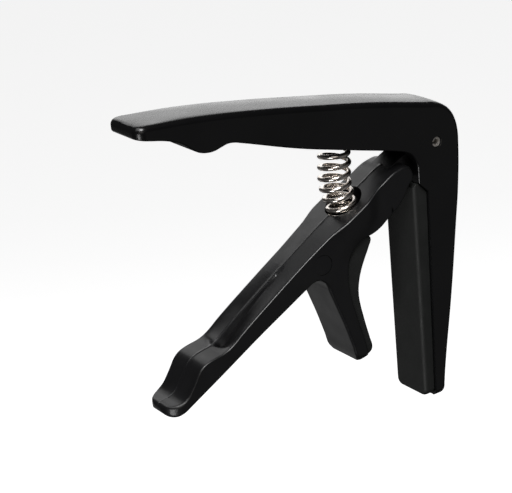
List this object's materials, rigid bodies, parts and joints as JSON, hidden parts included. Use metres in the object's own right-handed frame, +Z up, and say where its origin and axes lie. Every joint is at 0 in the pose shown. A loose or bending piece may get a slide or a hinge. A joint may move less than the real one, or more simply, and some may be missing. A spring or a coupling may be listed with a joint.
{
  "type": "guitar capo",
  "caption": "Spring-clamp guitar capo: one-piece handle, elbow and bar, a pivoting grip-and-jaw lever, a coil spring and two soft clamping pads.",
  "frame": {"origin": "centre of the flat face of the bar pad, which presses on the strings", "axes": "-X out of the bar pad's face, through the neck towards the jaw; +Y along the neck, across the capo's width; +Z up the bar towards the pivot"},
  "size_m": [0.0993, 0.017, 0.1013],
  "materials": {
    "frame_paint": "satin",
    "lever_plastic": "satin",
    "pin_steel": "satin",
    "spring_nickel": "polished",
    "pad_silicone": "matte"
  },
  "bodies": {
    "frame": {"frame": "frame_paint", "pivot_pin": "pin_steel", "bar_pad": "pad_silicone", "spring": "spring_nickel"},
    "lever": {"lever": "lever_plastic", "jaw_pad": "pad_silicone"}
  },
  "joints": [
    {"name": "lever_hinge", "type": "hinge", "parent": "frame", "child": "lever", "pos_m": [0.0082, 0, 0.0426], "axis": [0, 1, 0], "range_deg": [-6, 16], "stiffness_Nm_per_rad": 2.5, "deforming": ["spring"]}
  ]
}
